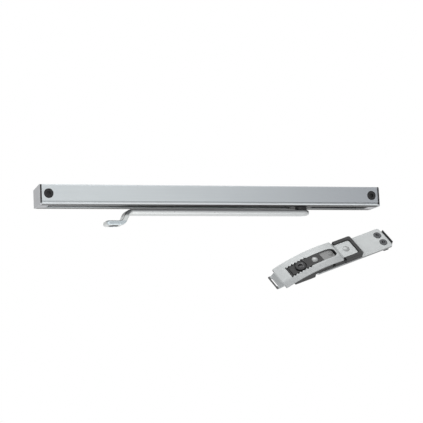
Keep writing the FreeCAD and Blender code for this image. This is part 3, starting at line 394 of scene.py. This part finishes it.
def plated_sheet(graph):
    """Bright zinc plated strip, rolled lengthwise, darker on its edge faces, with painted shade on the leaf's near
    side, on the neck and on the hook's bar.
    """
    lines = mottle(graph, 1800.0, 3.0, (0.02, 1.0, 1.0), True)
    spangle = mottle(graph, 300.0, 4.0, of_unit=True)
    cloud = mottle(graph, 45.0, 2.0, of_unit=True)
    colour = blend(graph, spread(graph, 0.35 * lines + 0.35 * spangle + 0.3 * cloud, 0.0, 1.0),
                   (0.47, 0.49, 0.495), (0.55, 0.57, 0.57))
    # darker on the faces that don't look outward, its edges
    outward = facing(graph, UNIT_OUT)
    colour = blend(graph, eased(graph, outward * outward, *CUT_FACING), colour, (0.31, 0.315, 0.32))
    run = along(graph, UNIT_MIDDLE, UNIT_ALONG)
    # painted shade on the leaf's near side
    near = eased(graph, along(graph, UNIT_MIDDLE, UNIT_ACROSS), NEAR_START, NEAR_END)
    on_leaf = eased(graph, run, LEAF_END, LEAF_END - LEAF_FADE)
    colour = blend(graph, near * on_leaf, colour, (0.39, 0.405, 0.41))
    # painted shade on the neck
    colour = blend(graph, eased(graph, run, NECK_START, NECK_END), colour, (0.36, 0.375, 0.38))
    # painted shade: the hook's bar past this place is near black
    bar = eased(graph, run, HOOK_BAR + EDGE_FADE, HOOK_BAR)
    colour = blend(graph, bar, colour, (0.06, 0.061, 0.062))
    return {
        "Base Color": colour,
        "Metallic": 0.3,
        "Roughness": spread(graph, spangle, 0.34, 0.5),
        "Normal": relief(graph, 0.5 * lines + 0.5 * spangle, 0.012 * MM),
    }


def spring_strip(graph):
    """Bright hardened spring strip."""
    lines = mottle(graph, 2000.0, 2.0, (0.01, 1.0, 1.0), True)
    return {
        "Base Color": blend(graph, lines, (0.17, 0.172, 0.172), (0.24, 0.243, 0.243)),
        "Metallic": 0.4,
        "Roughness": spread(graph, lines, 0.36, 0.46),
        "Normal": relief(graph, lines, 0.006 * MM),
    }


def bright_rivet(graph):
    """Cold headed rivet."""
    spangle = mottle(graph, 900.0, 3.0)
    return {
        "Base Color": blend(graph, spangle, (0.29, 0.30, 0.30), (0.38, 0.39, 0.39)),
        "Metallic": 0.7,
        "Roughness": spread(graph, spangle, 0.28, 0.42),
        "Normal": relief(graph, spangle, 0.01 * MM),
    }


def moulded_black(graph):
    """Black moulded plastic with an eroded grain, with painted shade, near black, on the outward faces beside the
    carrier's ridge.
    """
    grain = mottle(graph, 3200.0, 3.0)
    cloud = mottle(graph, 120.0)
    colour = blend(graph, spread(graph, cloud, 0.0, 1.0), (0.014, 0.014, 0.015), (0.024, 0.024, 0.025))
    # painted shade on the outward faces beside the carrier's ridge
    aside = along(graph, UNIT_MIDDLE, UNIT_ACROSS)
    beside = eased(graph, aside * aside, RIDGE_HALF_WIDTH ** 2, (RIDGE_HALF_WIDTH + EDGE_FADE) ** 2)
    ridge_side_shade = beside * eased(graph, facing(graph, UNIT_OUT), *CARRIER_TOP_FACING)
    return {
        "Base Color": blend(graph, ridge_side_shade, colour, (0.003, 0.003, 0.003)),
        "Roughness": spread(graph, grain, 0.45, 0.62),
        "Normal": relief(graph, grain, 0.02 * MM),
    }


def slider_plastic(graph):
    """Grey-black glass-filled slider plastic."""
    grain = mottle(graph, 2600.0, 3.0)
    return {
        "Base Color": blend(graph, grain, (0.03, 0.03, 0.032), (0.05, 0.05, 0.052)),
        "Roughness": spread(graph, grain, 0.4, 0.58),
        "Normal": relief(graph, grain, 0.015 * MM),
    }


def buffer_rubber(graph):
    """Charcoal moulded buffer, with painted shade on the faces towards the neck."""
    grain = mottle(graph, 2800.0, 4.0)
    cloud = mottle(graph, 160.0)
    colour = blend(graph, spread(graph, cloud, 0.0, 1.0), (0.03, 0.03, 0.031), (0.043, 0.043, 0.044))
    # painted shade on the faces towards the neck
    end = eased(graph, facing(graph, UNIT_ALONG), *BUFFER_SHADE_FACING)
    return {
        "Base Color": blend(graph, end, colour, (0.008, 0.008, 0.008)),
        "Roughness": spread(graph, grain, 0.55, 0.75),
        "Normal": relief(graph, grain, 0.03 * MM),
    }


def black_oxide(graph):
    """Blackened screw steel, greyer on the clamp screws, with painted light in the sockets of the unit's screws.
    """
    grain = mottle(graph, 1800.0, 4.0)
    wear = mottle(graph, 500.0, 3.0)
    colour = blend(graph, spread(graph, wear, 0.0, 1.0), (0.010, 0.010, 0.011), (0.030, 0.030, 0.032))
    out = along(graph, Vector(), UNIT_OUT)
    for node in ("clamp_screw_front", "clamp_screw_rear"):
        screw = within(graph, *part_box(node))
        # painted light on the socket floors of the clamp screws
        floor_start = unit_top(node) - SOCKET_RIM
        socket_floor_light = eased(graph, out, floor_start, floor_start - EDGE_FADE)
        colour = blend(graph, screw, colour, (0.07, 0.073, 0.078))
        colour = blend(graph, screw * socket_floor_light, colour, (0.3, 0.305, 0.31))
    # painted light in the adjuster's socket
    reach = Vector((ADJUSTER_SOCKET, ADJUSTER_SOCKET, ADJUSTER_SOCKET))
    head = UNIT_MIDDLE + UNIT_OUT * (unit_top("adjuster_screw") - UNIT_OUT.dot(UNIT_MIDDLE))
    socket = within(graph, head - reach, head + reach)
    colour = blend(graph, socket, colour, (0.09, 0.09, 0.092))
    return {
        "Base Color": colour,
        "Metallic": 0.4,
        "Roughness": spread(graph, grain, 0.3, 0.5),
        "Normal": relief(graph, grain, 0.01 * MM),
    }


FINISHES = {
    "rail_aluminium": finish("rail_aluminium_drawn", drawn_aluminium),
    "end_aluminium": finish("end_plate_brushed", end_aluminium),
    "arm_steel": finish("arm_zinc_plated", plated_arm),
    "plated_steel": finish("unit_sheet_plated", plated_sheet),
    "spring_steel": finish("spring_strip_bright", spring_strip),
    "rivet_steel": finish("rivet_bright", bright_rivet),
    "black_plastic": finish("black_plastic_moulded", moulded_black),
    "slider_plastic": finish("slider_plastic_moulded", slider_plastic),
    "buffer_rubber": finish("buffer_rubber_charcoal", buffer_rubber),
    "black_screw": finish("screw_black_oxide", black_oxide),
}
SLOT_OF = {part["node"]: part["material_slot"] for part in frame["record"]["subparts"]}
BODY_OF = {
    node: body
    for body, nodes in frame["record"]["behaviour"]["bodies"].items()
    for node in nodes
}


# ---- Pieces -------------------------------------------------------------------------
ROUNDING = {  # of a piece's sharp edges, in millimetres
    "rail_profile": 0.2,
    "end_insert_left": 0.2,
    "end_plate_left": 0.2,
    "end_insert_right": 0.2,
    "end_plate_right": 0.2,
    "slider_block": 0.25,
    "slider_pin": 0.15,
    "arm_bush": 0.15,
    "arm_bar": 0.35,
    "base_plate": 0.3,
    "end_pad": 0.35,
    "clamp_block": 0.3,
    "stop_buffer": 0.45,
    "detent_leaf": 0.25,
    "carrier_block": 0.2,
    "carrier_nut": 0.2,
    "detent_spring": 0.15,
    "adjuster_screw": 0.2,
    "clamp_screw_front": 0.2,
    "clamp_screw_rear": 0.2,
    "carrier_rivet": 0.15,
    "tongue_rivet": 0.15,
}


def shown(name, mesh):
    """Object of that mesh, in the scene."""
    piece = bpy.data.objects.new(name, mesh)
    bpy.context.scene.collection.objects.link(piece)
    return piece


def stand_for(piece, node):
    """The piece takes a CAD piece's place, body, material slot and finish."""
    slot = SLOT_OF[node]
    piece.data.materials.clear()
    piece.data.materials.append(FINISHES[slot])
    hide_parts(node)
    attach(piece, BODY_OF[node])


def round_edges(piece, radius, segments=EDGE_SEGMENTS):
    """Small rounding on every sharp edge."""
    for polygon in piece.data.polygons:
        polygon.use_smooth = True
    bevel = piece.modifiers.new("edges", "BEVEL")
    bevel.width = radius
    bevel.segments = segments
    bevel.limit_method = "ANGLE"
    bevel.angle_limit = SHARP_ANGLE
    bevel.use_clamp_overlap = True
    flat = piece.modifiers.new("flat_faces", "WEIGHTED_NORMAL")
    flat.weight = FLAT_FACE_WEIGHT
    flat.keep_sharp = True


def softened(node, radius, segments):
    """Copy of a CAD piece with its sharp edges rounded, which takes its place."""
    mesh = frame["nodes"][node].data.copy()
    bm = bmesh.new()
    bm.from_mesh(mesh)
    bmesh.ops.remove_doubles(bm, verts=bm.verts, dist=MERGE_DISTANCE)
    bmesh.ops.dissolve_limit(bm, angle_limit=FLAT_ANGLE, verts=bm.verts, edges=bm.edges)
    bm.to_mesh(mesh)
    bm.free()
    piece = shown(node + "_finished", mesh)
    round_edges(piece, radius, segments)
    stand_for(piece, node)


# ---- Screws and rivets --------------------------------------------------------------
def new_tree(name, sizes):
    """Geometry tree with a material input, named number inputs and one output."""
    tree = bpy.data.node_groups.new(name, "GeometryNodeTree")
    tree.interface.new_socket("Geometry", in_out="OUTPUT", socket_type="NodeSocketGeometry")
    for size in sizes:
        tree.interface.new_socket(size, in_out="INPUT", socket_type="NodeSocketFloat")
    tree.interface.new_socket("Finish", in_out="INPUT", socket_type="NodeSocketMaterial")
    graph = Graph(tree)
    given = graph.node("NodeGroupInput")
    return tree, graph, {size: given.output(size) for size in [*sizes, "Finish"]}


def raised(graph, geometry, height):
    """Geometry lifted along its axis."""
    offset = graph.node("ShaderNodeCombineXYZ", {}, {"Z": height})
    return graph.node("GeometryNodeTransform", {}, {"Geometry": geometry, "Translation": offset})


def end_tree(graph, geometry, material):
    """Ends a tree in plain faces with their finish."""
    real = graph.node("GeometryNodeRealizeInstances", {}, {"Geometry": geometry})
    finished = graph.node("GeometryNodeSetMaterial", {}, {"Geometry": real, "Material": material})
    graph.node("NodeGroupOutput", {}, {"Geometry": finished})


SCREW_SIZES = ["Head Radius", "Head Height", "Head Edge", "Shank Radius", "Length", "Socket Flats",
               "Socket Depth", "Thread Radius", "Thread Length", "Pitch", "Thread Depth"]


def screw_tree():
    """Socket screw along +Z: its seat at the origin, its head above, its thread below."""
    tree, graph, size = new_tree("socket_screw", SCREW_SIZES)
    barrel_height = size["Head Height"] - size["Head Edge"]
    barrel = graph.node("GeometryNodeMeshCylinder", {}, {
        "Vertices": ROUND_SIDES, "Radius": size["Head Radius"], "Depth": barrel_height})
    edge = graph.node("GeometryNodeMeshCone", {}, {
        "Vertices": ROUND_SIDES, "Radius Bottom": size["Head Radius"],
        "Radius Top": size["Head Radius"] - size["Head Edge"], "Depth": size["Head Edge"]})
    core_radius = size["Thread Radius"] - size["Thread Depth"]
    plain_length = size["Length"] - size["Thread Length"]
    core = graph.node("GeometryNodeMeshCylinder", {}, {
        "Vertices": ROUND_SIDES, "Radius": core_radius, "Depth": size["Length"]})
    plain = graph.node("GeometryNodeMeshCylinder", {}, {
        "Vertices": ROUND_SIDES, "Radius": size["Shank Radius"], "Depth": plain_length})
    solids = [
        raised(graph, barrel, barrel_height / 2.0),
        raised(graph, edge, barrel_height),
        raised(graph, core, size["Length"] / -2.0),
        raised(graph, plain, plain_length / -2.0),
    ]
    body = graph.node("GeometryNodeMeshBoolean", {"operation": "UNION"}, {"Mesh 2": solids})
    hexagon = graph.node("GeometryNodeMeshCylinder", {}, {
        "Vertices": HEX_SIDES, "Radius": size["Socket Flats"] / math.sqrt(3),
        "Depth": size["Socket Depth"] * 2.0})
    cut = graph.node("GeometryNodeMeshBoolean", {"operation": "DIFFERENCE"}, {
        "Mesh 1": body, "Mesh 2": raised(graph, hexagon, size["Head Height"])})
    run = size["Thread Length"] - size["Thread Depth"] * 2.0
    helix = graph.node("GeometryNodeCurveSpiral", {}, {
        "Resolution": TURN_STEPS, "Rotations": run / size["Pitch"],
        "Start Radius": core_radius, "End Radius": core_radius, "Height": run})
    upright = graph.node("GeometryNodeSetCurveNormal", {"mode": "Z_UP"}, {"Curve": helix})
    crest = graph.node("GeometryNodeCurvePrimitiveCircle", {}, {
        "Resolution": CREST_SIDES, "Radius": size["Thread Depth"]})
    ridge = graph.node("GeometryNodeCurveToMesh", {}, {
        "Curve": upright, "Profile Curve": crest, "Fill Caps": True})
    thread = raised(graph, ridge, size["Thread Depth"] - size["Length"])
    both = graph.node("GeometryNodeJoinGeometry", {}, {"Geometry": [cut, thread]})
    end_tree(graph, both, size["Finish"])
    return tree


def grown(name, tree, sizes, material, place):
    """Plain mesh object that a geometry tree makes, put in its place."""
    piece = shown(name, bpy.data.meshes.new(name))
    modifier = piece.modifiers.new("grown", "NODES")
    modifier.node_group = tree
    sockets = {item.name: item.identifier for item in tree.interface.items_tree if item.in_out == "INPUT"}
    for size, value in sizes.items():
        modifier[sockets[size]] = value
    modifier[sockets["Finish"]] = material
    depsgraph = bpy.context.evaluated_depsgraph_get()
    mesh = bpy.data.meshes.new_from_object(piece.evaluated_get(depsgraph))
    piece.modifiers.clear()
    mesh.transform(place)
    piece.data = mesh
    return piece


def standing(origin, axis):
    """Placement whose +Z runs along axis from origin."""
    turn = axis.normalized().to_track_quat("Z", "X").to_matrix().to_4x4()
    return Matrix.Translation(origin) @ turn


def make_fixing_screws(tree):
    """Black socket screws at both ends of the rail, threaded where they stand out behind it."""
    for side in ("left", "right"):
        node = "fixing_screw_" + side
        low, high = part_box(node)
        middle = (low + high) / 2
        seat = Vector((middle.x, low.y + FIXING_HEAD_HEIGHT, middle.z))
        length = high.y - seat.y
        sizes = {
            "Head Radius": (high.z - low.z) / 2, "Head Height": FIXING_HEAD_HEIGHT,
            "Head Edge": FIXING_HEAD_EDGE, "Shank Radius": FIXING_SHANK_RADIUS, "Length": length,
            "Socket Flats": FIXING_SOCKET, "Socket Depth": FIXING_SOCKET_DEPTH,
            "Thread Radius": FIXING_THREAD_RADIUS, "Thread Length": high.y - RAIL_HIGH.y,
            "Pitch": THREAD_PITCH, "Thread Depth": THREAD_DEPTH,
        }
        piece = grown(node + "_threaded", tree, sizes, FINISHES["black_screw"], standing(seat, FRONT))
        round_edges(piece, FIXING_ROUNDING)
        stand_for(piece, node)


def make_scene_pieces():
    """Every visible piece in its finished form."""
    for node, rounding in ROUNDING.items():
        softened(node, rounding * MM, BUFFER_SEGMENTS if node == "stop_buffer" else EDGE_SEGMENTS)
    make_fixing_screws(screw_tree())


# ---- Floor, light and camera --------------------------------------------------------
def seen_or_mirrored(graph):
    """1 where the camera sees a surface itself or in a mirror, 0 where it only lights others."""
    path = graph.node("ShaderNodeLightPath")
    mirrored = path.output("Is Glossy Ray") + path.output("Is Transmission Ray")
    return path.output("Is Camera Ray") + mirrored


def make_floor():
    """Plain pale floor, as far below the rail as a door is tall."""
    mesh = bpy.data.meshes.new("floor")
    half = FLOOR_SIZE / 2
    corners = [(-half, -half), (half, -half), (half, half), (-half, half)]
    mesh.from_pydata([(x, y, FLOOR_HEIGHT) for x, y in corners], [], [(0, 1, 2, 3)])
    floor = shown("floor", mesh)
    material = bpy.data.materials.new("floor_pale")
    material.use_nodes = True
    graph = Graph(material.node_tree)
    matt = graph.node("ShaderNodeBsdfDiffuse", {}, {"Color": (FLOOR_GREY, FLOOR_GREY, FLOOR_GREY, 1.0)})
    white = graph.node("ShaderNodeEmission", {}, {"Color": WHITE, "Strength": 1.0})
    mixed = graph.node("ShaderNodeMixShader", {}, {0: seen_or_mirrored(graph), 1: matt, 2: white})
    graph.node("ShaderNodeOutputMaterial", {}, {"Surface": mixed})
    mesh.materials.append(material)


def make_world():
    """White behind everything that is seen or mirrored, and a softer light on the rest."""
    world = bpy.data.worlds.new("studio")
    bpy.context.scene.world = world
    world.use_nodes = True
    graph = Graph(world.node_tree)
    soft = graph.node("ShaderNodeBackground", {}, {"Color": WHITE, "Strength": AMBIENT})
    white = graph.node("ShaderNodeBackground", {}, {"Color": WHITE, "Strength": 1.0})
    mixed = graph.node("ShaderNodeMixShader", {}, {0: seen_or_mirrored(graph), 1: soft, 2: white})
    graph.node("ShaderNodeOutputWorld", {}, {"Surface": mixed})


def make_lights():
    """Large square soft lamps over, in front of and below the rail, all turned to it."""
    for name, lamp in LAMPS.items():
        light = bpy.data.lights.new(name, "AREA")
        light.shape = "RECTANGLE"
        light.size = lamp["side"]
        light.size_y = lamp["side"]
        light.energy = lamp["power"]
        made = bpy.data.objects.new(name, light)
        bpy.context.scene.collection.objects.link(made)
        made.location = lamp["place"]
        made.rotation_mode = "QUATERNION"
        made.rotation_quaternion = (LAMP_TARGET - lamp["place"]).to_track_quat("-Z", "Y")


def make_camera():
    """Camera below the rail and to its left."""
    data = bpy.data.cameras.new("camera")
    data.lens = CAMERA_LENS
    data.sensor_width = SENSOR_WIDTH
    data.clip_start, data.clip_end = CLIP_RANGE
    camera = bpy.data.objects.new("camera", data)
    bpy.context.scene.collection.objects.link(camera)
    back = CAMERA_RIGHT.cross(CAMERA_UP)
    turn = Matrix((CAMERA_RIGHT, CAMERA_UP, back)).transposed()
    camera.rotation_mode = "QUATERNION"
    camera.rotation_quaternion = turn.to_quaternion()
    camera.location = CAMERA_PLACE
    bpy.context.scene.camera = camera


for node, cad_piece in frame["nodes"].items():
    cad_piece.data.materials.clear()
    cad_piece.data.materials.append(FINISHES[SLOT_OF[node]])
make_camera()
make_scene_pieces()
make_floor()
make_world()
make_lights()
bpy.context.scene.view_settings.view_transform = "Standard"
